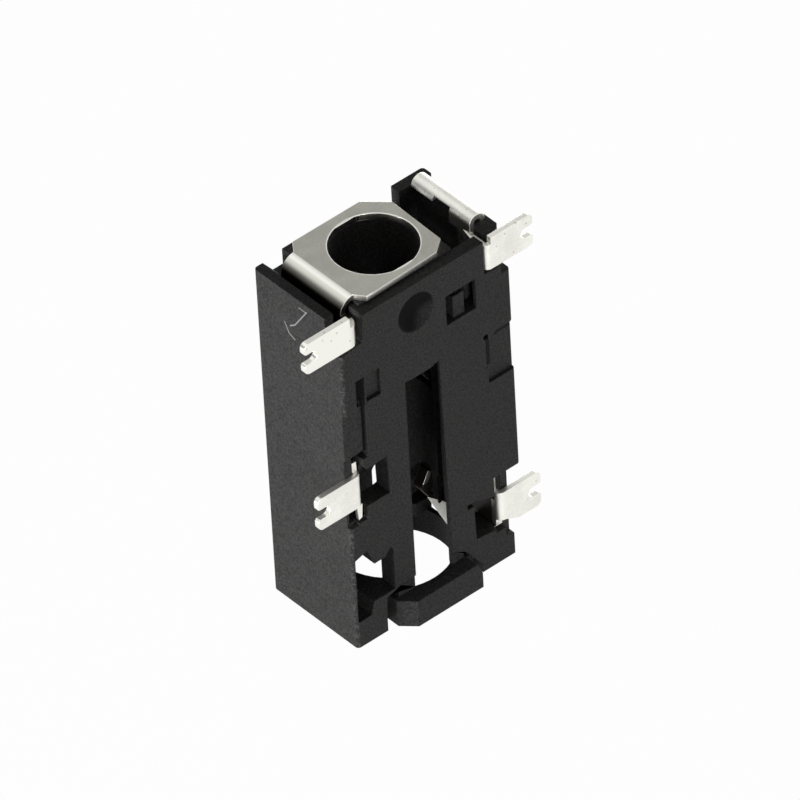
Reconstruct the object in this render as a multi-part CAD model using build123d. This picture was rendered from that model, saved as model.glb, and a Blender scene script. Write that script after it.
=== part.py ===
from build123d import *
import os

# The jack stands on its rear end, mouth up. Bore axis is X = Y = 0, rear face is Z = 0, board side is -Y.
# All sizes in millimetres.

# Plug and bore
PLUG_DIA = 2.5
PLUG_PLAY = 0.03
GUIDE_R = PLUG_DIA / 2 + PLUG_PLAY
CHANNEL_R = GUIDE_R + 0.17
PRELOAD = 0.2
CREST_X = PLUG_DIA / 2 - PRELOAD

# Moulded housing
LEFT = -2.9
RIGHT = 3.4
LOW_RIGHT = 3.05
DEPTH = 3.65
HEIGHT = 12.0
FRONT = -DEPTH / 2
BACK = DEPTH / 2
INNER = FRONT + 0.6
SKIN = FRONT + 0.15
SUNK = FRONT + 0.1
EDGE_R = 0.12
SIDE_WALL = 0.33
BACK_WALL = 0.38
PAST = 0.5

# Sheet metal
SHEET = 0.18
PLATE = 0.2
PROUD = 0.025
TAB_FACE = FRONT - PROUD
TAB_BACK = TAB_FACE + SHEET
FORK_DEEP = 0.46
FORK_WIDE = 0.36
PRONG_R = 0.18
LEAF_HALF = 0.42
FREE_END = 0.55
TIGHT_R = 0.2
WIDE_R = 0.3

# Height marks, from the mouth down
SEAT_TOP = HEIGHT + 0.1
GUIDE_LOW = HEIGHT - 1.9
CREST_SLEEVE = GUIDE_LOW - 0.75
CREST_RING_TWO = GUIDE_LOW - 2.9
CREST_RING_ONE = 5.3
CREST_TIP = 2.55
STEP_TOP = 3.22

# Left chamber, for the ring one leaf, and the channel above it for the sleeve leaf
LEFT_IN = LEFT + SIDE_WALL
LEFT_FLOOR = 1.4
LEFT_ROOF = GUIDE_LOW - 1.4
LEFT_BACK = 1.2
SLEEVE_GAP = 0.22
ROLL_R = 0.3
SLEEVE_LEG = LEFT_IN + SLEEVE_GAP + PLATE
COLLAR_LEFT = SLEEVE_LEG + ROLL_R
TROUGH_FLOOR = HEIGHT - 0.45
BORE_SIDE = -0.75

# Right chamber, for the ring two leaf
COLLAR_RIGHT = 1.6
SADDLE_IN = 2.78
SADDLE_OUT = 3.02
RIGHT_IN = SADDLE_OUT + SHEET
RIGHT_FLOOR = CREST_RING_TWO - 0.9
RIGHT_BACK = 1.45
REACH_TOP = GUIDE_LOW - 1.2
RIGHT_SILL = HEIGHT - 1.5
WELL_FRONT = FRONT + 0.4
POST_Y = -0.9
POST_X = 3.3
FIN_X = 2.2
BOW_TOP = HEIGHT + 0.3
BOW_R = (SADDLE_OUT - SADDLE_IN) / 2 + SHEET
SPRING_LINE = BOW_TOP - BOW_R
STUB_LOW = HEIGHT - 0.35
BOW_FRONT = -1.07
BOW_BACK = 1.42

# Lower right chamber, for the tip leaf
TIP_WALL = 2.7
TIP_DOOR = 2.15
TIP_HALF = 0.18
TIP_PLAY = 0.06
TIP_FOOT = 1.2
TIP_FRONT = -0.75
TIP_BACK = 0.9
SEPTUM = 0.17
SEPTUM_TOP = 0.95
SEPTUM_HIGH = 1.4
CORE_RIGHT = 2.85
CORE_BACK = 1.5

# Rear opening and locating boss
REAR_R = 1.83
REAR_FLAT = BACK - BACK_WALL
BOSS_FACE = -2.3
BOSS_HALF = 1.43
BOSS_ROOT = -1.3
BOSS_TOP = SEPTUM_TOP
BOSS_CUT = 0.42
BOSS_SLOPE = 0.35
LUG_LOW = 0.5
ARCH_DEEP = 0.06
POCKET_DEEP = 0.4

# Central slot on the board side
SLOT = (-0.63, 0.75)
SLOT_NARROW = 0.65
SLOT_HIGH = GUIDE_LOW - 1.48
SLOT_DEEP = -1.0
UNDERCUT = 0.55

# Gate dimple
DIMPLE = (-0.09, HEIGHT - 1.05)
DIMPLE_R = 0.67
DIMPLE_DEEP = 0.34

# Solder tabs: leg's bore side x, end x, lower z, upper z
BEND = 0.22
SLEEVE_BEND = 0.35
TAB_SLEEVE = (SLEEVE_LEG, -4.2, HEIGHT - 0.94, HEIGHT + 0.15)
TAB_RING_TWO = (2.5, 4.27, HEIGHT - 1.12, HEIGHT + 0.02)
TAB_RING_ONE = (LEFT_IN + SHEET, -4.06, 5.17, 6.33)
TAB_TIP = (TIP_WALL - SHEET, 4.08, 1.25, 2.5)
NECK_DROP = 0.25
RING_ONE_TOP = 6.66

# Play round the contacts
RELIEF = BEND - SHEET + 0.01
TAB_PLAY = 0.06
SLIT_PLAY = 0.04

# Hole of the mouth plate
PLATE_HOLE_R = GUIDE_R + 0.005
LEAD_IN = 0.03
FLAT_HALF = PLUG_DIA / 2 + 0.01
PLATE_FRONT = -1.25
PLATE_BACK = 1.3


def block(x, y, z):
    """A box between two x, two y and two z values."""
    corner = Pos(min(x), min(y), min(z))
    return corner * Box(abs(x[1] - x[0]), abs(y[1] - y[0]), abs(z[1] - z[0]), align=(Align.MIN,) * 3)


def post(shape, radius, low, high):
    """A cylinder or a cone on the bore axis between two heights."""
    return Pos(0, 0, low) * shape(*radius, high - low, align=(Align.CENTER, Align.CENTER, Align.MIN))


def facing(y):
    """The plane at depth y that is seen from the board side, with x to the right and z up."""
    return Plane(origin=(0, y, 0), x_dir=(1, 0, 0), z_dir=(0, -1, 0))


def carve(points, near, far):
    """A closed outline in x and z, carried from the near depth to the far one."""
    outline = make_face(Polyline(*points, close=True))
    return extrude(facing(far) * outline, amount=far - near)


def upright(points, low, high):
    """A closed outline in x and y, carried from the low height to the high one."""
    outline = make_face(Polyline(*points, close=True))
    return extrude(Pos(0, 0, low) * outline, amount=high - low)


def ribbon(points, bends, thick):
    """The section of a folded sheet, laid to the left of a line of points with rounded bends."""
    path = FilletPolyline(*points, radius=bends)
    return make_face(offset(path, amount=thick, side=Side.LEFT))


def leaf(points, bends, thick, near, far):
    """A sheet folded in x and z, carried from the near depth to the far one."""
    return extrude(facing(far) * ribbon(points, bends, thick), amount=far - near)


def folded_leg(points, bends, thick, low, high):
    """An upright sheet folded in x and y."""
    return extrude(Pos(0, 0, low) * ribbon(points, bends, thick), amount=high - low)


def tab(size, bend, thick):
    """A flat solder tab that starts past the leg's bend and ends in a fork of two round prongs."""
    leg, end, low, high = size
    inward = 1 if leg > end else -1
    root = leg - inward * bend
    middle = (low + high) / 2
    notch_r = FORK_WIDE / 2
    straight = FORK_DEEP - notch_r
    outline = Pos((root + end) / 2, middle) * Rectangle(abs(end - root), high - low)
    outline -= Pos(end + inward * straight / 2, middle) * Rectangle(straight, FORK_WIDE)
    outline -= Pos(end + inward * straight, middle) * Circle(notch_r)
    tips = outline.vertices().filter_by(lambda v: abs(v.X - end) < 0.01).sort_by(Axis.Y)
    outline = fillet([tips[0], tips[3]], PRONG_R)
    tips = outline.vertices().filter_by(lambda v: abs(v.X - end) < 0.01 and abs(v.Y - middle) < FORK_WIDE)
    outline = fillet([tip for tip in tips if abs(abs(tip.Y - middle) - notch_r) < 0.01], PRONG_R / 2)
    return extrude(facing(TAB_FACE + thick) * outline, amount=thick)


def shell():
    """The outer block of the moulding with its step at the lower right and its raised collar."""
    body = block((LEFT, RIGHT), (FRONT, BACK), (0, HEIGHT))
    body = fillet(body.edges().filter_by(Axis.Z), EDGE_R)
    body -= block((LOW_RIGHT, RIGHT + PAST), (FRONT - PAST, BACK + PAST), (-PAST, STEP_TOP))
    body += block((COLLAR_LEFT, COLLAR_RIGHT), (FRONT + 0.38, BACK), (HEIGHT - PAST, SEAT_TOP))
    return body


def boss():
    """The locating boss on the board side, at the rear end."""
    inner = BOSS_HALF - BOSS_CUT
    plan = [(-BOSS_HALF, BOSS_ROOT), (-BOSS_HALF, BOSS_FACE + BOSS_CUT), (-inner, BOSS_FACE),
            (BOSS_HALF, BOSS_FACE), (BOSS_HALF, BOSS_ROOT)]
    body = upright(plan, 0, BOSS_TOP)
    slope = carve([(BOSS_HALF - 0.2, BOSS_TOP + PAST), (BOSS_HALF - 0.2, BOSS_TOP),
                   (BOSS_HALF + 0.1, BOSS_SLOPE), (BOSS_HALF + PAST, BOSS_SLOPE),
                   (BOSS_HALF + PAST, BOSS_TOP + PAST)], BOSS_FACE - PAST, FRONT)
    return body - slope


def arch():
    """The shallow arched recess round the boss, deeper at its two feet."""
    crown = [(-1.75, -PAST), (-1.75, 0.83), (-1.7, 1.23), (-1.11, 1.42), (0.82, 1.38), (1.25, 1.14),
             (1.82, BOSS_SLOPE), (1.82, -PAST)]
    left_foot = [(-1.75, -PAST), (-1.75, 0.83), (-1.7, 1.23), (-1.25, 1.36), (-1.25, -PAST)]
    right_foot = [(1.2, -PAST), (1.2, 1.14), (1.82, BOSS_SLOPE), (1.82, -PAST)]
    recess = carve(crown, FRONT - PAST, FRONT + ARCH_DEEP)
    for foot in (left_foot, right_foot):
        recess += carve(foot, FRONT - PAST, FRONT + POCKET_DEEP)
    return recess


def bore():
    """The plug's way: guide collar, channel and rear opening with its flat."""
    guide = post(Cylinder, [GUIDE_R], GUIDE_LOW, HEIGHT + PAST)
    way = post(Cylinder, [CHANNEL_R], 0, GUIDE_LOW)
    rear = post(Cylinder, [REAR_R], -PAST, SEPTUM_TOP)
    rear -= block((-2 * REAR_R, 2 * REAR_R), (REAR_FLAT, 2 * REAR_R), (-2 * PAST, SEPTUM_TOP + PAST))
    for side in ((-1.3, SLOT[0]), (SLOT[1], 1.3)):
        rear -= block(side, (-2 * REAR_R, -1.2), (LUG_LOW, SEPTUM_TOP + PAST))
    low_left = post(Cylinder, [REAR_R], 0, LEFT_FLOOR + 0.1)
    low_left &= block((-2 * REAR_R, SLOT[0] - 0.4), (INNER, LEFT_BACK), (0, LEFT_FLOOR + 0.1))
    return guide + way + rear + low_left


def left_chambers():
    """Room for the ring one leaf, and above it for the sleeve leaf, open at the mouth end."""
    lower = block((LEFT_IN, BORE_SIDE), (INNER, LEFT_BACK), (LEFT_FLOOR, LEFT_ROOF))
    upper = block((LEFT_IN, BORE_SIDE), (-0.6, 0.6), (LEFT_ROOF - 0.1, GUIDE_LOW))
    rise = block((LEFT_IN, COLLAR_LEFT), (INNER, PLATE_BACK + 0.05), (GUIDE_LOW - 0.1, HEIGHT + PAST))
    trough = carve([(LEFT_IN, HEIGHT), (-2.22, TROUGH_FLOOR), (COLLAR_LEFT, TROUGH_FLOOR),
                    (COLLAR_LEFT, HEIGHT + PAST), (LEFT_IN, HEIGHT + PAST)], PLATE_BACK - 0.3, BACK + PAST)
    corner = carve([(LEFT - PAST, HEIGHT - 1.2), (-2.08, HEIGHT - 0.96), (-2.01, HEIGHT + PAST),
                    (LEFT - PAST, HEIGHT + PAST)], FRONT - PAST, PLATE_FRONT + 0.04)
    return lower + upper + rise + trough + corner


def right_chambers():
    """Room for the ring two leaf, with the saddle rib its bow sits on and the low wall outside it."""
    well = block((COLLAR_RIGHT, SADDLE_IN), (POST_Y, RIGHT_BACK), (RIGHT_FLOOR, HEIGHT + PAST))
    front_in = TAB_RING_TWO[0] - SLIT_PLAY
    well += block((COLLAR_RIGHT, front_in), (WELL_FRONT, POST_Y), (RIGHT_SILL, HEIGHT + PAST))
    outer = block((SADDLE_IN, RIGHT_IN), (POST_Y, RIGHT_BACK), (RIGHT_FLOOR, HEIGHT + PAST))
    rib = block((SADDLE_IN, SADDLE_OUT), (POST_Y, RIGHT_BACK), (RIGHT_SILL, SPRING_LINE))
    window = block((SADDLE_OUT, RIGHT + PAST), (POST_Y, RIGHT_BACK), (RIGHT_SILL, HEIGHT + PAST))
    gap = upright([(0.95, BACK + PAST), (0.95, 1.7), (COLLAR_RIGHT, 1.05), (COLLAR_RIGHT + 0.1, 1.05),
                   (COLLAR_RIGHT + 0.1, 1.4), (FIN_X, 1.4), (FIN_X, BACK + PAST)],
                  HEIGHT - 0.8, HEIGHT + PAST)
    nook = block((SADDLE_OUT, RIGHT_IN), (BOW_FRONT - 0.02, POST_Y), (RIGHT_SILL, HEIGHT + PAST))
    reach = block((0.5, COLLAR_RIGHT), (-FREE_END, FREE_END), (RIGHT_FLOOR, REACH_TOP))
    return well + (outer - rib) + window + gap + nook + reach


def ring_two_doorway():
    """The notch and slit through which the ring two leaf comes out to its tab."""
    root, end, low, high = TAB_RING_TWO
    sill = low - TAB_PLAY
    notch = carve([(root - SLIT_PLAY, HEIGHT + PAST), (root - 0.01, sill), (POST_X, sill - 0.08),
                   (RIGHT, RIGHT_SILL), (RIGHT + PAST, RIGHT_SILL), (RIGHT + PAST, HEIGHT + PAST)],
                  FRONT - PAST, TAB_BACK)
    slit = block((root - SLIT_PLAY, SADDLE_IN), (FRONT, POST_Y), (sill, HEIGHT + PAST))
    shoulder = upright([(POST_X, POST_Y), (POST_X, -1.45), (3.07, TAB_BACK), (3.07, FRONT - PAST),
                        (RIGHT + PAST, FRONT - PAST), (RIGHT + PAST, POST_Y)], RIGHT_SILL, HEIGHT + PAST)
    return notch + slit + shoulder


def tip_chamber():
    """Room for the tip leaf, open at the rear, with the corner notch its tab leaves by."""
    rear_in = REAR_R + 0.12
    door_in = CHANNEL_R + SEPTUM
    floor = TAB_TIP[2] - 0.1
    well = block((rear_in, TIP_WALL), (TIP_FRONT, TIP_BACK), (-PAST, STEP_TOP))
    well += block((door_in, TIP_WALL), (TIP_FRONT, TIP_BACK), (SEPTUM_HIGH, STEP_TOP))
    well += block((1.0, rear_in), (TIP_FRONT, LEAF_HALF + TIP_PLAY), (SEPTUM_TOP, TIP_DOOR))
    well += block((1.0, rear_in), (TIP_FRONT, TIP_BACK), (SEPTUM_HIGH, TIP_DOOR))
    well += block((0.9, door_in), (-TIP_HALF - TIP_PLAY, TIP_HALF + TIP_PLAY), (SEPTUM_TOP, STEP_TOP))
    slit = block((TIP_WALL - SHEET - 0.02, TIP_WALL), (FRONT - PAST, 0), (floor, STEP_TOP))
    notch = block((TIP_WALL - 0.3, LOW_RIGHT + PAST), (FRONT - PAST, TAB_BACK), (floor, STEP_TOP))
    hollow = carve([(TIP_WALL + 0.06, 0.85), (LOW_RIGHT + PAST, 0.65), (LOW_RIGHT + PAST, STEP_TOP),
                    (TIP_WALL + 0.06, STEP_TOP)], FRONT - PAST, FRONT + 0.22)
    relief = block((TIP_WALL, TIP_WALL + RELIEF), (FRONT, TAB_BACK + RELIEF), (floor, STEP_TOP))
    core = block((rear_in, CORE_RIGHT), (TIP_FRONT, CORE_BACK), (-PAST, TIP_FOOT - 0.1))
    side = block((CORE_RIGHT - 0.1, LOW_RIGHT + PAST), (TIP_BACK - 0.05, CORE_BACK), (-PAST, 0.42))
    return well + slit + notch + hollow + relief + core + side


def central_slot():
    """The long slot of the board side, its right edge undercut to a thin lip."""
    top = [(SLOT_NARROW, SLOT_HIGH + 0.1), (0.3, SLOT_HIGH), (-0.3, SLOT_HIGH), (SLOT[0], SLOT_HIGH + 0.04)]
    slot = carve([(SLOT[0], BOSS_TOP), (SLOT[1], BOSS_TOP), *top], FRONT - PAST, SLOT_DEEP)
    lip = upright([(0, SUNK), (SLOT_NARROW, SUNK), (SLOT_NARROW + UNDERCUT, SLOT_DEEP), (0, SLOT_DEEP)],
                  BOSS_TOP, SLOT_HIGH + 0.05)
    return slot + lip


def left_openings():
    """Windows and sunk panels of the board side, to the left of the bore."""
    low_window = carve([(-2.8, 0.95), (-2.32, 0.95), (-2.2, LEFT_FLOOR), (-1.4, LEFT_FLOOR), (-1.4, 2.84),
                        (-1.48, 3.0), (-1.56, 2.96), (-1.7, 2.77), (-2.12, 2.76), (-2.35, 3.4), (-2.8, 3.26)],
                       FRONT - PAST, INNER + 0.1)
    corner = block((LEFT - PAST, LEFT_IN), (FRONT - PAST, TAB_BACK), (4.5, 7.0))
    corner += block((LEFT_IN - RELIEF, LEFT_IN), (FRONT, TAB_BACK + RELIEF), (4.5, 7.0))
    foot = block((LEFT - PAST, -2.25), (FRONT - PAST, TAB_BACK), (4.55, 5.1))
    foot += block((LEFT + 0.1, -2.27), (FRONT - PAST, INNER + 0.1), (4.6, 5.12))
    mid_window = carve([(LEFT_IN, 5.02), (-1.4, 5.02), (-1.44, 6.4), (-2.19, 6.36), (-2.32, 6.55),
                        (-2.3, 7.0), (LEFT_IN, 7.0)], FRONT - PAST, INNER + 0.1)
    panel = block((LEFT - PAST, -2.1), (FRONT - PAST, SUNK), (6.87, LEFT_ROOF))
    groove = block((-2.2, -2.1), (FRONT - PAST, FRONT + 0.3), (7.0, LEFT_ROOF))
    groove += block((-2.35, -2.12), (FRONT - PAST, FRONT + 0.35), (6.8, 7.02))
    high_slit = block((-2.41, -2.1), (FRONT - PAST, -0.5), (LEFT_ROOF, GUIDE_LOW - 0.35))
    high_patch = block((-2.05, -1.52), (FRONT - PAST, SKIN), (LEFT_ROOF + 0.1, GUIDE_LOW - 0.35))
    return low_window + corner + foot + mid_window + panel + groove + high_slit + high_patch


def right_openings():
    """Windows and sunk panels of the board side, to the right of the bore."""
    pocket_low = GUIDE_LOW - 0.3
    pocket_high = GUIDE_LOW + 0.75
    pocket = block((1.0, 2.1), (FRONT - PAST, INNER), (pocket_low, pocket_high))
    pocket += block((1.8, 2.36), (SKIN, WELL_FRONT + 0.1), (pocket_low, pocket_high))
    rib = block((1.34, 1.76), (FRONT + 0.12, INNER + 0.1), (pocket_low, pocket_high - 0.28))
    panel = carve([(2.42, 6.8), (RIGHT + PAST, 6.8), (RIGHT + PAST, 8.57), (2.78, 8.57), (2.5, 8.4),
                   (2.42, 8.3)], FRONT - PAST, FRONT + 0.14)
    groove = block((2.36, 2.46), (FRONT - PAST, FRONT + 0.4), (7.37, 8.5))
    stop = Pos(2.38, FRONT, 8.52) * Rot(90, 0, 0) * Cylinder(0.09, 0.8)
    tip_window = carve([(1.66, 1.37), (TIP_WALL - 0.17, 1.25), (TIP_WALL - 0.21, 2.51), (1.62, 2.81)],
                       FRONT - PAST, -0.7)
    tip_slit = block((1.38, 1.66), (FRONT - PAST, -0.7), (2.63, 2.79))
    return (pocket - rib) + panel + groove + stop + tip_window + tip_slit


def gate_dimple():
    """The round dish left by the mould's gate."""
    dish_r = (DIMPLE_R**2 + DIMPLE_DEEP**2) / (2 * DIMPLE_DEEP)
    centre = Pos(DIMPLE[0], FRONT + DIMPLE_DEEP - dish_r, DIMPLE[1])
    return centre * Sphere(dish_r)


def back_openings():
    """Core-outs of the far side: an oval window into the bore and a blind pocket."""
    oval = Pos(0.91, 2.27) * SlotCenterToCenter(0.62, 0.74, rotation=90)
    window = extrude(facing(BACK + PAST) * oval, amount=PAST + BACK - 1.0)
    pocket = block((1.75, 2.95), (0.3, BACK + PAST), (3.9, 5.9))
    return window + pocket


def housing():
    """The moulded body, carved from its outer block."""
    body = shell() - arch() + boss()
    body -= bore()
    body -= left_chambers()
    body -= right_chambers()
    body -= ring_two_doorway()
    body -= tip_chamber()
    body -= central_slot()
    body -= left_openings()
    body -= right_openings()
    body -= gate_dimple()
    body -= back_openings()
    return body


def mouth_plate():
    """The flat plate round the mouth, with its cut corners and its hole with two flats."""
    high = SEAT_TOP + PLATE
    outline = [(COLLAR_LEFT, PLATE_FRONT), (-1.62, -1.57), (1.05, -1.49), (1.5, -1.14), (1.57, 1.0),
               (0.92, 1.65), (-1.59, 1.65), (COLLAR_LEFT, PLATE_BACK)]
    hole = post(Cone, [PLATE_HOLE_R, PLATE_HOLE_R + LEAD_IN], SEAT_TOP, high)
    hole &= block((-PLUG_DIA, PLUG_DIA), (-FLAT_HALF, FLAT_HALF), (SEAT_TOP - PAST, high + PAST))
    return upright(outline, SEAT_TOP, high) - hole


def sleeve_contact():
    """The mouth plate, rolled over the left edge into a leg, with a spring leaf and a solder tab."""
    leg, end, low, high = TAB_SLEEVE
    fold = leaf([(leg, low), (leg, SEAT_TOP), (COLLAR_LEFT + 0.2, SEAT_TOP)], ROLL_R, PLATE,
                PLATE_FRONT, PLATE_BACK)
    spring = leaf([(-1.25, CREST_SLEEVE - 0.45), (-CREST_X, CREST_SLEEVE), (leg, GUIDE_LOW - 0.1),
                   (leg, low + 0.1)], [TIGHT_R, WIDE_R], PLATE, -LEAF_HALF, LEAF_HALF)
    turn = folded_leg([(leg - SLEEVE_BEND - 0.01, TAB_FACE), (leg, TAB_FACE), (leg, 0)], SLEEVE_BEND, PLATE,
                      low, SEAT_TOP - ROLL_R)
    return mouth_plate() + fold + spring + turn + tab(TAB_SLEEVE, SLEEVE_BEND, PLATE)


def ring_two_contact():
    """A bow over the saddle rib, with a spring leaf down its outer side and a tab from its inner one."""
    leg, end, low, high = TAB_RING_TWO
    crown = BOW_TOP - SHEET
    inner = SADDLE_IN - SHEET
    bow = leaf([(SADDLE_IN, STUB_LOW), (SADDLE_IN, crown), (SADDLE_OUT, crown),
                (SADDLE_OUT, RIGHT_SILL + 0.6)], (SADDLE_OUT - SADDLE_IN) / 2 - 0.005, SHEET,
               BOW_FRONT, BOW_BACK)
    bow -= block((inner - SHEET, SADDLE_IN), (-0.2, 0.5), (low, BOW_TOP - 0.12))
    bow -= block((inner - SHEET, SADDLE_IN), (0.5, BOW_BACK + PAST), (low, BOW_TOP - 0.3))
    spring = leaf([(SADDLE_OUT, RIGHT_SILL + 1), (SADDLE_OUT, RIGHT_SILL - 0.8), (CREST_X, CREST_RING_TWO),
                   (CREST_X + 0.32, CREST_RING_TWO - FREE_END)], [0.4, TIGHT_R], SHEET, -LEAF_HALF, LEAF_HALF)
    turn = folded_leg([(inner, -0.55), (inner, POST_Y + 0.1), (leg, POST_Y - 0.3), (leg, TAB_FACE),
                       (leg + BEND + 0.01, TAB_FACE)], [WIDE_R, WIDE_R, BEND], SHEET, low, high - NECK_DROP)
    return bow + spring + turn + tab(TAB_RING_TWO, BEND, SHEET)


def ring_one_contact():
    """A leg on the left wall, with a leaf that turns down from its top and a tab at its foot."""
    leg, end, low, high = TAB_RING_ONE
    crown = LEFT_ROOF - 0.35
    spring = leaf([(-CREST_X - 0.32, CREST_RING_ONE - FREE_END), (-CREST_X, CREST_RING_ONE), (-1.85, crown),
                   (LEFT_IN, crown), (LEFT_IN, low - 0.25)], [TIGHT_R, WIDE_R, WIDE_R], SHEET,
                  -LEAF_HALF, LEAF_HALF)
    turn = folded_leg([(leg - BEND - 0.01, TAB_FACE), (leg, TAB_FACE), (leg, LEAF_HALF)], BEND, SHEET,
                      low, high)
    edge = block((LEFT_IN, leg), (TAB_BACK + RELIEF, 0), (low, RING_ONE_TOP))
    return spring + turn + edge + tab(TAB_RING_ONE, BEND, SHEET)


def tip_contact():
    """A leg on the lower right wall, with a leaf that turns up from its foot and a tab at its front."""
    leg, end, low, high = TAB_TIP
    leg_top = STEP_TOP - 0.12
    spring = leaf([(CREST_X + 0.3, CREST_TIP + FREE_END), (CREST_X, CREST_TIP), (1.95, TIP_FOOT),
                   (TIP_WALL, TIP_FOOT), (TIP_WALL, leg_top)], [TIGHT_R, TIGHT_R, 0.25], SHEET,
                  -LEAF_HALF, LEAF_HALF)
    for side in (-1, 1):
        spring -= block((0.5, 1.8), (side * TIP_HALF, side), (TIP_DOOR - 0.3, STEP_TOP))
    back = block((leg, TIP_WALL), (TAB_FACE + BEND + 0.1, 0), (low, leg_top))
    turn = folded_leg([(leg, 0), (leg, TAB_FACE), (leg + BEND + 0.01, TAB_FACE)], BEND, SHEET, low, high)
    notch = carve([(leg, low), (leg + BEND + 0.5, low), (leg + BEND, low + 0.22), (leg, low + 0.22)],
                  TAB_FACE - PAST, TAB_BACK)
    return spring + back + turn + tab(TAB_TIP, BEND, SHEET) - notch


if __name__ == "__main__":
    os.makedirs("parts", exist_ok=True)
    pieces = {
        "housing": housing(),
        "sleeve_contact": sleeve_contact(),
        "ring_two_contact": ring_two_contact(),
        "ring_one_contact": ring_one_contact(),
        "tip_contact": tip_contact(),
    }
    for name, piece in pieces.items():
        export_step(piece, f"parts/{name}.step")
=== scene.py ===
"""Dressed scene of a small surface-mount audio jack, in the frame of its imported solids."""
import logging
import math
from dataclasses import dataclass
from enum import Enum

import bpy
from mathutils import Matrix, Vector


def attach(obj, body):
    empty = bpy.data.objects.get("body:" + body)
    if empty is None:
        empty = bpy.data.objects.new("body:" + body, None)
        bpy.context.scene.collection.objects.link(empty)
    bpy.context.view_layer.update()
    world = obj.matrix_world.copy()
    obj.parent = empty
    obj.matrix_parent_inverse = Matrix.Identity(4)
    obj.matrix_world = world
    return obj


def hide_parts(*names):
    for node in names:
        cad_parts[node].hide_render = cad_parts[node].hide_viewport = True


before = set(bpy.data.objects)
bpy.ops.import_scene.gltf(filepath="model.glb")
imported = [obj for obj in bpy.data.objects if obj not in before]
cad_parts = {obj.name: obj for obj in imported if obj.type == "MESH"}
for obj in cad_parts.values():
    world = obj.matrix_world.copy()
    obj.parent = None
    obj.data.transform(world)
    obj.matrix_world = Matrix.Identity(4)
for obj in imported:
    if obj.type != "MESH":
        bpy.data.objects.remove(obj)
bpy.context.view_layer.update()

log = logging.getLogger("jack")
MM = 0.001
LEFT_SIDE = -2.9
BOARD_SIDE = -1.825
BACK = 1.825

Colour = tuple[float, float, float, float]
Point = tuple[float, float]
Outline = tuple[Point, ...]
Span = tuple[float, float]
Triple = tuple[float, float, float]


class Metal(Enum):
    """The platings of the contacts."""

    NICKEL = "satin nickel"
    TIN = "bright tin"
    FLANGE = "bright tin of a fold"


class Wire:
    """A value socket of a node tree that can be used in sums.

    Args:
        graph: The material's node tree helper.
        socket: The output socket that carries the value.
    """

    def __init__(self, graph: "Graph", socket: bpy.types.NodeSocket) -> None:
        """Keeps the helper and the socket."""
        self.graph = graph
        self.socket = socket

    def _math(self, operation: str, *values: "Wire | float") -> "Wire":
        """Adds one Math node.

        Args:
            operation: The Math node's operation.
            values: Its inputs in order.

        Returns:
            The node's value.
        """
        made = self.graph.node("ShaderNodeMath", {"operation": operation}, dict(enumerate(values)))
        return Wire(self.graph, made.outputs[0])

    def __add__(self, other: "Wire | float") -> "Wire":
        """The sum."""
        return self._math("ADD", self, other)

    def __radd__(self, other: float) -> "Wire":
        """The sum, reflected."""
        return self._math("ADD", other, self)

    def __sub__(self, other: "Wire | float") -> "Wire":
        """The difference."""
        return self._math("SUBTRACT", self, other)

    def __rsub__(self, other: float) -> "Wire":
        """The difference, reflected."""
        return self._math("SUBTRACT", other, self)

    def __mul__(self, other: "Wire | float") -> "Wire":
        """The product."""
        return self._math("MULTIPLY", self, other)

    def __rmul__(self, other: float) -> "Wire":
        """The product, reflected."""
        return self._math("MULTIPLY", other, self)

    def __pow__(self, other: float) -> "Wire":
        """The power."""
        return self._math("POWER", self, other)

    def __gt__(self, other: "Wire | float") -> "Wire":
        """One where this is the greater, else nought."""
        return self._math("GREATER_THAN", self, other)

    def __lt__(self, other: "Wire | float") -> "Wire":
        """One where this is the smaller, else nought."""
        return self._math("LESS_THAN", self, other)

    def between(self, low: float, high: float) -> "Wire":
        """One between two values, else nought."""
        return (self > low) * (self < high)

    def __abs__(self) -> "Wire":
        """The size without its sign."""
        return self._math("ABSOLUTE", self)

    def clamp(self) -> "Wire":
        """The value held between nought and one."""
        return self._math("MINIMUM", self._math("MAXIMUM", self, 0.0), 1.0)

    def ramp(self, low: float, high: float) -> "Wire":
        """A smooth step from nought at low to one at high.

        Args:
            low: The value that gives nought.
            high: The value that gives one.

        Returns:
            The stepped value.
        """
        made = self.graph.node("ShaderNodeMapRange", {"interpolation_type": "SMOOTHSTEP"},
                               {"Value": self, "From Min": low, "From Max": high})
        return Wire(self.graph, made.outputs["Result"])


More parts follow.
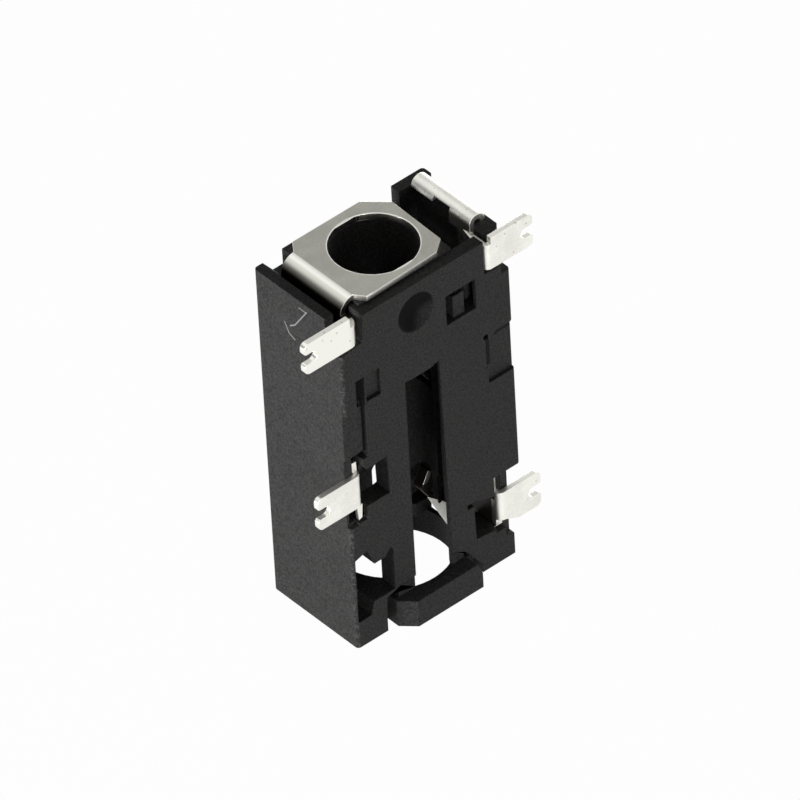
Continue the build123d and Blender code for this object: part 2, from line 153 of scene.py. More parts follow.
class Graph:
    """The node tree of one material."""

    def __init__(self, name: str) -> None:
        """Makes a material with an empty tree.

        Args:
            name: The material's name.
        """
        self.material = bpy.data.materials.new(name)
        self.material.use_nodes = True
        self.tree = self.material.node_tree
        self.tree.nodes.clear()
        self.output = self.node("ShaderNodeOutputMaterial")
        self.place = self.node("ShaderNodeTexCoord").outputs["Object"]

    @classmethod
    def on_tree(cls, tree: bpy.types.NodeTree) -> "Graph":
        """Works on a tree that exists, such as the world's.

        Args:
            tree: The node tree.

        Returns:
            The helper.
        """
        made = cls.__new__(cls)
        made.tree = tree
        tree.nodes.clear()
        return made

    def node(self, kind: str, settings: dict | None = None,
             inputs: dict | None = None) -> bpy.types.Node:
        """Adds a node, sets what it is, then fills or links its sockets.

        Args:
            kind: The node's type.
            settings: Properties of the node.
            inputs: Values or links by socket name or number.

        Returns:
            The new node.
        """
        made = self.tree.nodes.new(kind)
        for key, value in (settings or {}).items():
            setattr(made, key, value)
        for key, value in (inputs or {}).items():
            socket = made.inputs[key]
            if isinstance(value, Wire):
                self.tree.links.new(value.socket, socket)
            elif isinstance(value, bpy.types.NodeSocket):
                self.tree.links.new(value, socket)
            else:
                socket.default_value = value
        return made

    def millimetres(self, stretch: Triple = (1, 1, 1)) -> bpy.types.NodeSocket:
        """Object coordinates in millimetres.

        Args:
            stretch: How many pattern lengths a millimetre holds, by axis.

        Returns:
            The coordinates.
        """
        scale = tuple(s / MM for s in stretch)
        made = self.node("ShaderNodeMapping", None, {"Vector": self.place, "Scale": scale})
        return made.outputs[0]

    def axes(self) -> tuple[Wire, Wire, Wire]:
        """The place in millimetres as three values."""
        split = self.node("ShaderNodeSeparateXYZ", None, {0: self.millimetres()})
        return tuple(Wire(self, split.outputs[i]) for i in range(3))

    def noise(self, size: float, detail: float = 2.0, rough: float = 0.5) -> Wire:
        """Soft noise.

        Args:
            size: Size of its blots in millimetres.
            detail: How many finer layers it has.
            rough: Strength of the finer layers.

        Returns:
            The noise, from nought to one.
        """
        made = self.node("ShaderNodeTexNoise", None, {
            "Vector": self.millimetres(), "Scale": 1 / size, "Detail": detail, "Roughness": rough})
        return Wire(self, made.outputs["Fac"])

    def cells(self, size: float, stretch: Triple = (1, 1, 1)) -> Wire:
        """Distance to scattered points.

        Args:
            size: Their mean distance in millimetres.
            stretch: How much closer they are along each axis.

        Returns:
            The distance.
        """
        made = self.node("ShaderNodeTexVoronoi", None, {
            "Vector": self.millimetres(stretch), "Scale": 1 / size})
        return Wire(self, made.outputs["Distance"])

    def mix(self, share: Wire, first: Colour | bpy.types.NodeSocket,
            second: Colour | bpy.types.NodeSocket) -> bpy.types.NodeSocket:
        """Blends two colours.

        Args:
            share: How much of the second colour.
            first: Colour where the share is nought.
            second: Colour where the share is one.

        Returns:
            The blended colour.
        """
        made = self.node("ShaderNodeMix", {"data_type": "RGBA"}, {0: share, 6: first, 7: second})
        return made.outputs[2]

    def bump(self, height: Wire, strength: float, depth: float) -> bpy.types.NodeSocket:
        """A bumped normal.

        Args:
            height: The height pattern, from nought to one.
            strength: The share of the effect.
            depth: Height in millimetres that one stands for.

        Returns:
            The normal.
        """
        made = self.node("ShaderNodeBump", None, {
            "Height": height, "Strength": strength, "Distance": depth * MM})
        return made.outputs[0]

    def finish(self, inputs: dict) -> bpy.types.Material:
        """Closes the tree with one surface shader.

        Args:
            inputs: Values or links of the shader's sockets.

        Returns:
            The material.
        """
        shader = self.node("ShaderNodeBsdfPrincipled", None, inputs)
        self.tree.links.new(shader.outputs[0], self.output.inputs["Surface"])
        return self.material


@dataclass(frozen=True)
class Specks:
    """Scattered specks, such as pits, dust or dents.

    Attributes:
        spacing: Their mean distance in millimetres.
        reach: Between which shares of that distance a speck fades.
        share: How much they tell.
        stretch: How much closer they are along each axis.
    """

    spacing: float
    reach: Span
    share: float
    stretch: Triple = (1, 1, 1)

    def shown(self, g: Graph) -> Wire:
        """Where the specks are.

        Args:
            g: The material's node tree helper.

        Returns:
            Their share.
        """
        return (1 - g.cells(self.spacing, self.stretch).ramp(*self.reach)) * self.share


@dataclass(frozen=True)
class Wear:
    """Worn spots along the left front corner.

    Attributes:
        reach: Distances from the corner between which the wear fades, in millimetres.
        spot_size: Size of the spots.
        level: Noise value above which a spot is worn.
        share: How much the wear tells.
    """

    reach: Span = (0.05, 0.16)
    spot_size: float = 0.12
    level: float = 0.56
    share: float = 0.8

    def shown(self, g: Graph, x: Wire, y: Wire) -> Wire:
        """Where the corner is worn.

        Args:
            g: The material's node tree helper.
            x: Place across in millimetres.
            y: Depth in millimetres.

        Returns:
            The share of wear.
        """
        from_corner = abs(x - LEFT_SIDE) + abs(y - BOARD_SIDE)
        spots = g.noise(self.spot_size) > self.level
        return (1 - from_corner.ramp(*self.reach)) * spots * self.share


@dataclass(frozen=True)
class GateMarkShade:
    """Painted shade in the dish of the gate mark: near black, fading towards the lower right, where
    light falls.

    Attributes:
        centre: Place across and height of its middle in millimetres.
        radius: Its radius.
        rim: Width over which the painted shade fades at the rim.
        under: Depths under the board side between which the dish lies.
        lit_reach: How far to the lower right the painted shade starts to fade and has faded, where
            light falls.
        lit_share: How much of it fades there.
    """

    centre: Point = (-0.09, 10.95)
    radius: float = 0.67
    rim: float = 0.05
    under: Span = (0.005, 0.4)
    lit_reach: Span = (0.4, 0.8)
    lit_share: float = 0.9

    def shown(self, x: Wire, y: Wire, z: Wire) -> Wire:
        """Where the dish gets its painted shade.

        Args:
            x: Place across in millimetres.
            y: Depth in millimetres.
            z: Height in millimetres.

        Returns:
            The share of painted shade, least at the lower right, where light falls.
        """
        # painted shade: darkest at the dish's upper left, fading towards its lit lower right
        across = x - self.centre[0]
        above = z - self.centre[1]
        reach = (across * across + above * above) ** 0.5
        inside = 1 - reach.ramp(self.radius - self.rim, self.radius)
        dished = (y - BOARD_SIDE).between(*self.under)
        return inside * dished * (1 - (across - above).ramp(*self.lit_reach) * self.lit_share)


@dataclass(frozen=True)
class PanelCornerShade:
    """Painted shade in the upper and inner corner of the sunk panel on the right.

    Attributes:
        left: Left end of the panel in millimetres.
        top: Its upper end.
        under: Depths under the board side between which the panel lies.
        beside: Width of the painted shade along the left end.
        down: How far it reaches down there.
        below: Width of the painted shade along the upper end.
        share: How much it tells.
    """

    left: float = 2.42
    top: float = 8.62
    under: Span = (0.02, 0.3)
    beside: float = 0.18
    down: float = 1.27
    below: float = 0.32
    share: float = 0.9

    def shown(self, x: Wire, y: Wire, z: Wire) -> Wire:
        """Where the painted shade is.

        Args:
            x: Place across in millimetres.
            y: Depth in millimetres.
            z: Height in millimetres.

        Returns:
            The share of painted shade.
        """
        # painted shade along the sunk panel's left and upper ends
        panel = (y - BOARD_SIDE).between(*self.under) * (x > self.left) * (z < self.top)
        beside = (x < self.left + self.beside) * (z > self.top - self.down)
        below = z > self.top - self.below
        return panel * (1 - (1 - beside) * (1 - below)) * self.share


@dataclass(frozen=True)
class Scratch:
    """A scratch of straight strokes on the left side.

    Attributes:
        strokes: Ends of the strokes, in depth and height, in millimetres.
        wide: Half the width of a stroke.
        full: Share of that width over which the stroke is full.
        under: How deep under the left side it tells.
        share: How much it tells.
    """

    strokes: tuple[tuple[Point, Point], ...] = (
        ((-0.1, 11.72), (-0.4, 11.72)), ((-0.43, 11.75), (0.12, 10.95)),
        ((0.12, 10.95), (0.33, 10.8)), ((0.57, 10.8), (0.4, 10.48)),
        ((0.4, 10.48), (0.16, 10.38)))
    wide: float = 0.028
    full: float = 0.4
    under: float = 0.05
    share: float = 0.9

    def stroke(self, y: Wire, z: Wire, start: Point, end: Point) -> Wire:
        """One straight stroke.

        Args:
            y: Depth in millimetres.
            z: Height in millimetres.
            start: Depth and height where it starts.
            end: Depth and height where it ends.

        Returns:
            One on the stroke, nought off it.
        """
        along = (end[0] - start[0], end[1] - start[1])
        length = along[0] ** 2 + along[1] ** 2
        dy = y - start[0]
        dz = z - start[1]
        share = (dy * (along[0] / length) + dz * (along[1] / length)).clamp()
        off_y = dy - share * along[0]
        off_z = dz - share * along[1]
        reach = (off_y * off_y + off_z * off_z) ** 0.5
        return 1 - reach.ramp(self.wide * self.full, self.wide)

    def shown(self, x: Wire, y: Wire, z: Wire) -> Wire:
        """Where the left side is scratched.

        Args:
            x: Place across in millimetres.
            y: Depth in millimetres.
            z: Height in millimetres.

        Returns:
            The share of the scratch.
        """
        marks = self.stroke(y, z, *self.strokes[0])
        for ends in self.strokes[1:]:
            marks = marks + self.stroke(y, z, *ends)
        return marks.clamp() * (x < LEFT_SIDE + self.under) * self.share


@dataclass(frozen=True)
class MouldedPlastic:
    """Black glass-filled plastic with a mottled grain, specks, a worn corner and a scratch, and
    painted shade in the gate mark's dish and the sunk panel's corner.

    Attributes:
        dark: Colour between the grains.
        light: Colour of the grains.
        pit: Colour of the pits.
        speck: Colour of dust and of the worn corner.
        painted_shade: Colour of the painted shade in the gate mark's dish and in the sunk panel's
            corner.
        scratched: Colour of the scratch.
        flow_size: Size of the flow clouds in millimetres.
        grain_size: Size of the grain in millimetres.
        mottle_size: Size of the mottling in millimetres.
        shares: How much flow, grain and mottling tell in the colour.
        grain_band: Grain values between which its colour turns.
        grain_depth: Height of the grain in millimetres.
        grain_bump: Strength of the grain's bump.
        roughness: Mean roughness.
        flow_change: How much the flow clouds change it.
        specular: Specular level.
        pits: The pits.
        dust: The dust specks.
        dust_patch: Size of the dusty patches in millimetres.
        dust_level: Noise value above which a patch is dusty.
        wear: The worn corner.
        gate_mark_shade: The painted shade in the gate mark's dish.
        panel_corner_shade: The painted shade in the sunk panel's corner.
        scratch: The scratch.
    """

    dark: Colour = (0.014, 0.0142, 0.0142, 1)
    light: Colour = (0.088, 0.0875, 0.086, 1)
    pit: Colour = (0.014, 0.014, 0.014, 1)
    speck: Colour = (0.13, 0.13, 0.127, 1)
    # painted shade colour, for the gate mark's dish and the sunk panel's corner
    painted_shade: Colour = (0.002, 0.0022, 0.0022, 1)
    scratched: Colour = (0.42, 0.42, 0.42, 1)
    flow_size: float = 1.3
    grain_size: float = 0.07
    mottle_size: float = 0.32
    shares: Triple = (0.25, 0.6, 0.15)
    grain_band: Span = (0.36, 0.64)
    grain_depth: float = 0.012
    grain_bump: float = 0.6
    roughness: float = 0.55
    flow_change: float = 0.2
    specular: float = 0.08
    pits: Specks = Specks(0.42, (0.05, 0.1), 0.6)
    dust: Specks = Specks(0.55, (0.03, 0.07), 0.7, (1.1, 0.9, 1))
    dust_patch: float = 1.1
    dust_level: float = 0.5
    wear: Wear = Wear()
    gate_mark_shade: GateMarkShade = GateMarkShade()
    panel_corner_shade: PanelCornerShade = PanelCornerShade()
    scratch: Scratch = Scratch()

    def build(self) -> bpy.types.Material:
        """Makes the material.

        Returns:
            The material.
        """
        g = Graph("moulded plastic")
        x, y, z = g.axes()
        flow = g.noise(self.flow_size, 3)
        grain = g.noise(self.grain_size, 3, rough=0.8)
        mottle = g.noise(self.mottle_size)
        by_flow, by_grain, by_mottle = self.shares
        share = flow * by_flow + grain.ramp(*self.grain_band) * by_grain + mottle * by_mottle
        dusty = g.noise(self.dust_patch) > self.dust_level
        colour = g.mix(share.clamp(), self.dark, self.light)
        colour = g.mix(self.pits.shown(g), colour, self.pit)
        colour = g.mix(self.dust.shown(g) * dusty, colour, self.speck)
        colour = g.mix(self.wear.shown(g, x, y), colour, self.speck)
        # painted shade in the gate mark's dish
        colour = g.mix(self.gate_mark_shade.shown(x, y, z), colour, self.painted_shade)
        # painted shade in the sunk panel's upper and inner corner
        colour = g.mix(self.panel_corner_shade.shown(x, y, z), colour, self.painted_shade)
        colour = g.mix(self.scratch.shown(x, y, z), colour, self.scratched)
        return g.finish({
            "Base Color": colour, "Roughness": self.roughness + (flow - 0.5) * self.flow_change,
            "Specular IOR Level": self.specular,
            "Normal": g.bump(grain, self.grain_bump, self.grain_depth)})


@dataclass(frozen=True)
class PlatedSheet:
    """Plated contact sheet: satin nickel near the mouth and bright tin on the tabs, with painted
    light and shade on the plate's roll, cut edges and hole rim, and painted shade inside the
    moulding.

    Attributes:
        nickel: Colour of the mouth plate.
        roll_sheen: Colour of the painted sheen on its roll, brighter than the plate.
        roll_shade: Colour of the painted shade on the roll's underside.
        tin: Colour of the tinned tabs, of the painted highlight on the cut edges and the hole's
            rim, which are bare cut metal, and of the painted highlight line along the roll.
        inner_shade: Colour of the painted shade on the sheet inside the moulding.
        stain: Colour of dents.
        cloud_size: Size of the clouds in millimetres.
        grain_size: Size of the grain in millimetres.
        fade_band: Values of cloud and grain between which the metal is faded and full.
        faded: How much of its colour faded metal keeps.
        grain_depth: Height of the grain in millimetres.
        grain_bump: Strength of the grain's bump.
        roughness: Mean roughness of the nickel.
        cloud_change: How much the clouds change it.
        tin_roughness: How much rougher the tin is.
        shade_metal_loss: How much of its metallic look the sheet under painted shade loses.
        dents: The dents.
        dent_patch: Size of the dented patches in millimetres.
        dent_level: Noise value above which a patch is dented.
        in_shade: Depth behind which the sheet lies inside the moulding.
        plate_top: Height of the mouth plate's upper side.
        plate_left: Where the plate's cut edges end and its roll begins.
        top_skin: Drop below the top that still counts as the upper side.
        cut_drop: Drop below the top that the cut edges reach.
        rim_drop: Drop below the top that the painted highlight on the hole's rim reaches.
        leaf_drop: Drop below the top at which the leaf gets painted shade.
        bend_past: How far to the right of its left end the plate may show the bend.
        shade_past: How far to the left of it the painted shade on the underside begins.
        bend_drop: Drops below the plate's top between which the bend sets in.
        highlight_drop: Drops between which the painted highlight line along the bend fades.
        shade_drop: Drops between which the painted shade on the underside sets in.
        tab_reach: Distances to the left between which the solder tab sets in.
        rim_highlight_reach: Radii between which the painted highlight on the hole's rim fades.
        leaf_reach: Squared distances from the bore's axis between which the leaf's painted shade
            fades.
        leaf_top: Height under which the contacts inside the moulding get painted shade.
        free_end: Lowest and highest place of the tip leaf's end that is left without painted shade,
            in height.
        free_end_across: Its left and right end.
        free_end_front: The depth in front of which it lies.
    """

    nickel: Colour = (0.54, 0.535, 0.475, 1)
    roll_sheen: Colour = (0.73, 0.72, 0.65, 1)
    roll_shade: Colour = (0.07, 0.065, 0.052, 1)
    tin: Colour = (0.92, 0.912, 0.85, 1)
    inner_shade: Colour = (0.022, 0.017, 0.013, 1)
    stain: Colour = (0.5, 0.46, 0.38, 1)
    cloud_size: float = 0.7
    grain_size: float = 0.07
    fade_band: Span = (0.35, 0.65)
    faded: float = 0.86
    grain_depth: float = 0.006
    grain_bump: float = 0.35
    roughness: float = 0.3
    cloud_change: float = 0.15
    tin_roughness: float = 0.12
    shade_metal_loss: float = 0.9
    dents: Specks = Specks(0.26, (0.04, 0.2), 0.8, (1, 1.3, 1))
    dent_patch: float = 0.6
    dent_level: float = 0.5
    in_shade: float = -1.5
    plate_top: float = 12.3
    plate_left: float = -1.84
    top_skin: float = 0.016
    cut_drop: float = 0.25
    rim_drop: float = 0.15
    leaf_drop: float = 0.35
    bend_past: float = 0.44
    shade_past: float = 0.06
    bend_drop: Span = (0.0005, 0.003)
    highlight_drop: Span = (0.03, 0.06)
    shade_drop: Span = (0.04, 0.3)
    tab_reach: Span = (2.3, 2.6)
    rim_highlight_reach: Span = (1.33, 1.36)
    leaf_reach: Span = (3.3, 4.0)
    leaf_top: float = 10.4
    free_end: Span = (2.7, 3.3)
    free_end_across: Span = (0.0, 1.7)
    free_end_front: float = -0.165

    def shaded(self, plating: Metal, x: Wire, y: Wire, z: Wire) -> Wire:
        """Where the sheet gets painted shade inside the moulding.

        Args:
            plating: Which plating the sheet has.
            x: Place across in millimetres.
            y: Depth in millimetres.
            z: Height in millimetres.

        Returns:
            One where it is dark.
        """
        if plating is Metal.NICKEL:
            # painted shade on the nickel leaf near the bore, below the plate
            near_bore = 1 - (x * x + y * y).ramp(*self.leaf_reach)
            return near_bore * (z < self.plate_top - self.leaf_drop)
        # painted shade on the contacts inside the moulding, leaving out the tip leaf's lit end
        left_lit = z.between(*self.free_end) * x.between(*self.free_end_across)
        left_lit = left_lit * (y < self.free_end_front)
        return (y > self.in_shade) * (z < self.leaf_top) * (1 - left_lit)

    def roll(self, g: Graph, colour: bpy.types.NodeSocket, x: Wire, y: Wire,
             z: Wire) -> bpy.types.NodeSocket:
        """Paints light and shade on the roll: a painted sheen and a painted highlight line along
        its bend, and painted shade the further it drops.

        Args:
            g: The material's node tree helper.
            colour: The plate's colour.
            x: Place across in millimetres.
            y: Depth in millimetres.
            z: Height in millimetres.

        Returns:
            The colour with the roll's painted light and shade in it.
        """
        drop = self.plate_top - z
        bent = drop.ramp(*self.bend_drop) * (x < self.plate_left + self.bend_past)
        # painted sheen along the roll's bend
        colour = g.mix(bent, colour, self.roll_sheen)
        # painted highlight line where the bend starts
        colour = g.mix(bent * (1 - drop.ramp(*self.highlight_drop)), colour, self.tin)
        # painted shade on the roll's underside, darker the further it drops
        beside = (x < self.plate_left - self.shade_past) * (y > self.in_shade)
        under = drop.ramp(*self.shade_drop) * beside
        return g.mix(under, colour, self.roll_shade)

    def bright(self, tab: Wire, x: Wire, y: Wire, z: Wire) -> Wire:
        """Where the nickel sheet gets bright tin: its tinned tab, and its cut edges and the hole's
        rim, bare cut metal painted brighter as a highlight.

        Args:
            tab: One on the tab.
            x: Place across in millimetres.
            y: Depth in millimetres.
            z: Height in millimetres.

        Returns:
            One where it is bright.
        """
        # cut edges and the hole's rim: bare cut metal, painted bright as a highlight
        side = z.between(self.plate_top - self.cut_drop, self.plate_top - self.top_skin)
        cut_edge_highlight = side * (x > self.plate_left)
        reach = (x * x + y * y) ** 0.5
        rim = (1 - reach.ramp(*self.rim_highlight_reach)) * (z > self.plate_top - self.rim_drop)
        return 1 - (1 - tab) * (1 - cut_edge_highlight) * (1 - rim)

    def build(self, plating: Metal) -> bpy.types.Material:
        """Makes the material.

        Args:
            plating: Which plating the flat of the sheet has.

        Returns:
            The material.
        """
        g = Graph(plating.value)
        x, y, z = g.axes()
        cloud = g.noise(self.cloud_size, 3)
        grain = g.noise(self.grain_size, 3, rough=0.7)
        full = self.nickel if plating is Metal.NICKEL else self.tin
        faded = tuple(part * self.faded for part in full[:3]) + (1,)
        colour = g.mix((cloud * 0.5 + grain * 0.5).ramp(*self.fade_band), faded, full)
        rough = self.roughness + (cloud - 0.5) * self.cloud_change
        if plating is Metal.NICKEL:
            dented = (x * -1.0).ramp(*self.tab_reach)
            # painted sheen, highlight line and shade on the roll
            colour = self.roll(g, colour, x, y, z)
            # tinned tab, and painted highlight on the cut edges and the hole's rim
            colour = g.mix(self.bright(dented, x, y, z), colour, self.tin)
        else:
            dented = g.noise(self.dent_patch) > self.dent_level
            rough = rough + self.tin_roughness
        colour = g.mix(self.dents.shown(g) * dented, colour, self.stain)
        metal = 1.0
        if plating is not Metal.FLANGE:
            # painted shade: a dark, less metallic sheet inside the moulding
            shaded = self.shaded(plating, x, y, z)
            colour = g.mix(shaded, colour, self.inner_shade)
            metal = 1 - shaded * self.shade_metal_loss
        return g.finish({
            "Base Color": colour, "Metallic": metal, "Roughness": rough,
            "Normal": g.bump(grain, self.grain_bump, self.grain_depth)})


def select_only(piece: bpy.types.Object) -> None:
    """Selects one piece and makes it the active one.

    Args:
        piece: The piece.
    """
    bpy.ops.object.select_all(action="DESELECT")
    piece.select_set(True)
    bpy.context.view_layer.objects.active = piece


@dataclass(frozen=True)
class Block:
    """A straight block with a closed outline, in millimetres.

    Attributes:
        outline: Its corners, in x and y, or in x and z where it faces the board side.
        low: Where it starts along the third axis.
        high: Where it ends along the third axis.
        facing: Whether it faces the board side.
    """

    outline: Outline
    low: float
    high: float
    facing: bool = False

    def build(self, name: str) -> bpy.types.Object:
        """Models the block.

        Args:
            name: The block's name.

        Returns:
            The block.
        """
        bpy.ops.object.select_all(action="DESELECT")
        bpy.ops.mesh.primitive_circle_add(vertices=len(self.outline), radius=1, fill_type="NGON")
        made = bpy.context.object
        made.name = name
        for vertex, (u, v) in zip(made.data.vertices, self.outline):
            vertex.co = (u, self.low, v) if self.facing else (u, v, self.low)
        length = self.high - self.low
        step = (0, length, 0) if self.facing else (0, 0, length)
        bpy.ops.object.mode_set(mode="EDIT")
        bpy.ops.mesh.select_all(action="SELECT")
        bpy.ops.mesh.extrude_region_move(TRANSFORM_OT_translate={"value": step})
        bpy.ops.mesh.select_all(action="SELECT")
        bpy.ops.mesh.normals_make_consistent(inside=False)
        bpy.ops.object.mode_set(mode="OBJECT")
        return made


def soften(piece: bpy.types.Object, width: float, sharp: float) -> None:
    """Rounds a piece's edges and evens its shading.

    Args:
        piece: The piece, in millimetres.
        width: Width of the softened edges.
        sharp: Turn above which an edge is softened, in degrees.
    """
    select_only(piece)
    bevel = piece.modifiers.new("softened", "BEVEL")
    bevel.width = width
    bevel.segments = 2
    bevel.limit_method = "ANGLE"
    bevel.angle_limit = math.radians(sharp)
    bevel.use_clamp_overlap = False
    bpy.ops.object.modifier_apply(modifier=bevel.name)
    bpy.ops.object.shade_smooth_by_angle(angle=math.radians(sharp))
    even = piece.modifiers.new("even shading", "WEIGHTED_NORMAL")
    even.keep_sharp = True
    bpy.ops.object.modifier_apply(modifier=even.name)


def seat(piece: bpy.types.Object, finish: bpy.types.Material) -> None:
    """Brings a piece to real size, dresses it and lets it ride on the jack.

    Args:
        piece: The piece, in millimetres.
        finish: The material.
    """
    piece.data.transform(Matrix.Scale(MM, 4))
    piece.data.materials.clear()
    piece.data.materials.append(finish)
    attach(piece, "root")
    log.info("%s: %d faces", piece.name, len(piece.data.polygons))


@dataclass
class DressedNode:
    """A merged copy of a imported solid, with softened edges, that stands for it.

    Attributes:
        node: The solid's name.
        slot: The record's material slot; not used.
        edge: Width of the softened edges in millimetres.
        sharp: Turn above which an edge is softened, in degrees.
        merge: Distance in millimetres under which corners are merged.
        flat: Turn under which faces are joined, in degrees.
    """

    node: str
    slot: str
    edge: float = 0.02
    sharp: float = 35.0
    merge: float = 0.0002
    flat: float = 0.5

    def carves(self) -> tuple[Block, ...]:
        """The blocks taken out of the copy, none unless a class of its own gives them."""
        return ()

    def copy(self) -> bpy.types.Object:
        """Copies the solid and merges the copy.

        Returns:
            The copy, in millimetres.
        """
        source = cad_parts[self.node]
        piece = source.copy()
        piece.data = source.data.copy()
        piece.parent = None
        for key in list(piece.keys()):
            del piece[key]
        piece.name = "dressed_" + self.node
        bpy.context.scene.collection.objects.link(piece)
        piece.data.transform(Matrix.Scale(1 / MM, 4))
        select_only(piece)
        bpy.ops.object.mode_set(mode="EDIT")
        bpy.ops.mesh.select_all(action="SELECT")
        bpy.ops.mesh.remove_doubles(threshold=self.merge)
        bpy.ops.object.mode_set(mode="OBJECT")
        return piece

    def carve(self, piece: bpy.types.Object) -> None:
        """Takes the blocks out of the copy.

        Args:
            piece: The copy, in millimetres.
        """
        for block in self.carves():
            cutter = block.build("cutter")
            select_only(piece)
            cut = piece.modifiers.new("cut", "BOOLEAN")
            cut.operation = "DIFFERENCE"
            cut.solver = "EXACT"
            cut.object = cutter
            bpy.ops.object.modifier_apply(modifier=cut.name)
            bpy.data.objects.remove(cutter, do_unlink=True)

    def build(self, finish: bpy.types.Material) -> bpy.types.Object:
        """Copies, carves, softens and dresses the solid.

        Args:
            finish: The material.

        Returns:
            The dressed piece.
        """
        piece = self.copy()
        self.carve(piece)
        bpy.ops.object.mode_set(mode="EDIT")
        bpy.ops.mesh.select_all(action="SELECT")
        bpy.ops.mesh.dissolve_limited(angle_limit=math.radians(self.flat))
        bpy.ops.object.mode_set(mode="OBJECT")
        soften(piece, self.edge, self.sharp)
        seat(piece, finish)
        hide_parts(self.node)
        return piece


@dataclass
class Housing(DressedNode):
    """The moulded housing, open behind the slot's right lip and with pin marks on its back.

    Attributes:
        behind_lip: Blocks taken out behind the lip.
        pins: Place across and height of each ejector pin's mark.
        pin_radius: Radius of a mark.
        pin_deep: Depth of a mark.
        pin_sides: Number of sides of its circle.
        past: How far its cutter stands out of the back.
    """

    node: str = "housing"
    slot: str = "housing"
    behind_lip: tuple[Block, ...] = (
        Block(((0.4, -1.72), (0.68, -1.72), (1.62, -0.62), (1.0, -0.62)), 0.97, 3.3),
        Block(((0.3, -1.62), (0.7, -1.66), (0.8, -1.62), (1.62, -0.62), (1.0, -0.62)), 0.45, 0.99),
    )
    pins: tuple[Point, ...] = ((-1.75, 9.6), (-1.75, 1.9), (2.35, 8.4))
    pin_radius: float = 0.5
    pin_deep: float = 0.035
    pin_sides: int = 48
    past: float = 0.2

    def pin_mark(self, x: float, z: float) -> Block:
        """The shallow disc of one ejector pin.

        Args:
            x: Place across in millimetres.
            z: Height in millimetres.

        Returns:
            The disc.
        """
        turns = [math.tau * i / self.pin_sides for i in range(self.pin_sides)]
        outline = tuple((x + self.pin_radius * math.cos(turn), z + self.pin_radius * math.sin(turn))
                        for turn in turns)
        return Block(outline, BACK - self.pin_deep, BACK + self.past, facing=True)

    def carves(self) -> tuple[Block, ...]:
        """The blocks behind the lip and the pin marks."""
        return self.behind_lip + tuple(self.pin_mark(x, z) for x, z in self.pins)


@dataclass
class SmallFolds:
    """Small folds of the contacts: a flange on the tip leaf and a foot under the ring one tab.

    Attributes:
        flange: The flange before it is turned and placed.
        flange_place: Where the upright that it turns about stands, in millimetres.
        flange_turn: Its turn about that upright, in degrees.
        foot: The foot.
        edge: Width of the softened edges in millimetres.
        sharp: Turn above which an edge is softened, in degrees.
    """

    flange: Block = Block(((0.0, 2.344), (0.62, 2.13), (0.62, 1.13)), 0.0, 0.07, facing=True)
    flange_place: Triple = (1.129, -0.329, 0.0)
    flange_turn: float = -45.0
    foot: Block = Block(((-2.61, 5.2), (-2.4, 5.2), (-2.43, 4.72), (-2.56, 4.66)), -1.8, -1.67,
                        facing=True)
    edge: float = 0.012
    sharp: float = 35.0

    def build(self, finish: bpy.types.Material) -> None:
        """Makes both folds.

        Args:
            finish: The material.
        """
        flange = self.flange.build("tip_flange")
        turn = Matrix.Rotation(math.radians(self.flange_turn), 4, "Z")
        flange.data.transform(Matrix.Translation(self.flange_place) @ turn)
        foot = self.foot.build("ring_one_foot")
        for piece in (flange, foot):
            soften(piece, self.edge, self.sharp)
            seat(piece, finish)


@dataclass(frozen=True)
class Lamp:
    """A soft round lamp.

    Attributes:
        name: The lamp's name.
        place: Its place in millimetres.
        size: Its diameter in millimetres.
        power: Its power in watts.
    """

    name: str
    place: Triple
    size: float
    power: float

    def build(self, aim: Vector) -> None:
        """Adds the lamp.

        Args:
            aim: The point that it faces, in metres.
        """
        light = bpy.data.lights.new(self.name, "AREA")
        light.shape = "DISK"
        light.size = self.size * MM
        light.energy = self.power
        holder = bpy.data.objects.new(self.name, light)
        holder.location = Vector(self.place) * MM
        holder.rotation_euler = (aim - holder.location).to_track_quat("-Z", "Y").to_euler()
        bpy.context.scene.collection.objects.link(holder)


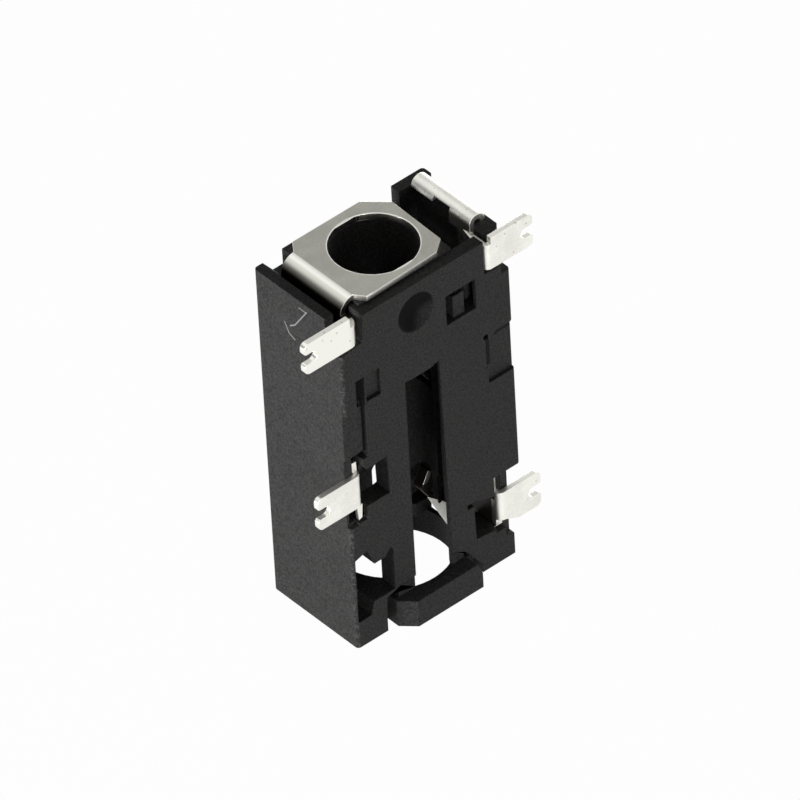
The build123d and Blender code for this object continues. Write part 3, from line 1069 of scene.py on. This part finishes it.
@dataclass
class Studio:
    """Pale floor, soft lights and the camera at the photograph's view.

    Attributes:
        azimuth: The camera's turn about the upright axis, in degrees.
        elevation: Its height over the horizon, in degrees.
        roll: Its turn about its own axis, in degrees.
        distance: Its distance in metres.
        px_per_mm: Scale of the photograph.
        frame_px: Width and height of the photograph.
        centre_px: Where the middle of the body is in the photograph.
        centre_mm: The middle of the body.
        lamps: The soft lamps.
        floor_wide: Width of the floor in metres.
        floor_drop: How far the floor lies under the rear end, in millimetres.
        floor_share: How much of the floor's look is its own white.
        floor_colour: Colour of the rest.
        ambient: The world's level as a light.
        canopy: How much the sky is greyed above and behind on the right, in reflections.
        canopy_up: Between which heights that part sets in.
        canopy_north: Between which ways back it sets in.
        canopy_east: Between which ways to the right it sets in.
        horizon: How much the sky is greyed low on the left, in reflections.
        horizon_up: Between which heights that part ends.
        horizon_west: Between which ways to the left it ends.
    """

    azimuth: float = -38.91
    elevation: float = 41.07
    roll: float = -3.325
    distance: float = 0.5
    px_per_mm: float = 35.42
    frame_px: float = 800.0
    centre_px: Point = (379.93, 415.03)
    centre_mm: Triple = (-0.14, 0.0, 6.0)
    lamps: tuple[Lamp, ...] = (
        Lamp("left", (-74, 6, 5), 30, 0.052),
        Lamp("front", (-28, -77, 6), 24, 0.0215),
        Lamp("back", (56, 62, 3), 40, 0.03),
    )
    floor_wide: float = 0.8
    floor_drop: float = 0.02
    floor_share: float = 0.98
    floor_colour: Colour = (0.92, 0.92, 0.92, 1)
    ambient: float = 0.08
    canopy: float = 0.4
    canopy_up: Span = (0.3, 0.5)
    canopy_north: Span = (-0.1, 0.35)
    canopy_east: Span = (0.1, 0.4)
    horizon: float = 0.85
    horizon_up: Span = (0.35, 0.7)
    horizon_west: Span = (-0.7, -0.4)

    def camera(self) -> None:
        """Places the camera."""
        az, el, roll = (math.radians(v) for v in (self.azimuth, self.elevation, self.roll))
        back = Vector((math.sin(az) * math.cos(el), -math.cos(az) * math.cos(el), math.sin(el)))
        right = Vector((math.cos(az), math.sin(az), 0))
        up = back.cross(right)
        across = right * math.cos(roll) + up * math.sin(roll)
        above = up * math.cos(roll) - right * math.sin(roll)
        half = self.frame_px / 2
        shift_x = (half - self.centre_px[0]) / self.px_per_mm
        shift_y = (self.centre_px[1] - half) / self.px_per_mm
        target = (Vector(self.centre_mm) + across * shift_x + above * shift_y) * MM
        lens = bpy.data.cameras.new("camera")
        lens.sensor_width = 36.0
        lens.lens = lens.sensor_width * self.px_per_mm * self.distance / MM / self.frame_px
        lens.clip_start = 0.05
        lens.clip_end = 5.0
        camera = bpy.data.objects.new("camera", lens)
        turn = Matrix((across, above, back)).transposed().to_4x4()
        camera.matrix_world = Matrix.Translation(target + back * self.distance) @ turn
        bpy.context.scene.collection.objects.link(camera)
        bpy.context.scene.camera = camera

    def lights(self) -> None:
        """Adds the soft lamps, all facing the middle of the body's height."""
        for lamp in self.lamps:
            lamp.build(Vector((0, 0, self.centre_mm[2])) * MM)

    def backdrop(self) -> None:
        """Makes the floor and the world pale for the camera and for reflections."""
        bpy.ops.object.select_all(action="DESELECT")
        bpy.ops.mesh.primitive_plane_add(size=self.floor_wide,
                                         location=(0, 0, -self.floor_drop * MM))
        floor = bpy.context.object
        floor.name = "floor"
        g = Graph("pale floor")
        rays = g.node("ShaderNodeLightPath").outputs
        seen = Wire(g, rays["Is Camera Ray"]) + Wire(g, rays["Is Glossy Ray"])
        seen = (seen + Wire(g, rays["Is Transmission Ray"])).clamp()
        matt = g.node("ShaderNodeBsdfDiffuse", None, {"Color": self.floor_colour})
        glow = g.node("ShaderNodeEmission", None, {"Color": (1, 1, 1, 1), "Strength": 1.0})
        both = g.node("ShaderNodeMixShader", None, {
            0: seen * self.floor_share, 1: matt.outputs[0], 2: glow.outputs[0]})
        g.tree.links.new(both.outputs[0], g.output.inputs["Surface"])
        floor.data.materials.append(g.material)
        self.world()
        bpy.context.scene.view_settings.view_transform = "Standard"

    def world(self) -> None:
        """Makes the world white to the camera, greyed in two parts to reflections, and dim."""
        world = bpy.data.worlds.new("studio")
        bpy.context.scene.world = world
        world.use_nodes = True
        g = Graph.on_tree(world.node_tree)
        rays = g.node("ShaderNodeLightPath").outputs
        seen = Wire(g, rays["Is Camera Ray"])
        mirrored = (Wire(g, rays["Is Glossy Ray"]) + Wire(g, rays["Is Transmission Ray"])).clamp()
        way = g.node("ShaderNodeTexCoord").outputs["Generated"]
        parts = g.node("ShaderNodeSeparateXYZ", None, {0: way}).outputs
        east, north, height = (Wire(g, parts[i]) for i in range(3))
        canopy = height.ramp(*self.canopy_up) * north.ramp(*self.canopy_north)
        canopy = canopy * east.ramp(*self.canopy_east)
        horizon = (1 - height.ramp(*self.horizon_up)) * (1 - east.ramp(*self.horizon_west))
        shown = 1 - (canopy * self.canopy + horizon * self.horizon).clamp()
        level = seen + (1 - seen) * (mirrored * shown + (1 - mirrored) * self.ambient)
        sky = g.node("ShaderNodeBackground", None, {"Color": (1, 1, 1, 1), "Strength": level})
        out = g.node("ShaderNodeOutputWorld")
        g.tree.links.new(sky.outputs[0], out.inputs["Surface"])

    def build(self) -> None:
        """Sets up the whole studio."""
        self.camera()
        self.lights()
        self.backdrop()


def main() -> None:
    """Builds the studio and the dressed pieces."""
    logging.basicConfig(level=logging.INFO)
    Studio().build()
    plastic = MouldedPlastic().build()
    nickel = PlatedSheet().build(Metal.NICKEL)
    tin = PlatedSheet().build(Metal.TIN)
    Housing().build(plastic)
    DressedNode("sleeve_contact", "plate").build(nickel)
    for name in ("ring_two_contact", "ring_one_contact", "tip_contact"):
        DressedNode(name, "contact").build(tin)
    SmallFolds().build(PlatedSheet().build(Metal.FLANGE))
    bpy.context.view_layer.update()


if __name__ == "__main__":
    main()
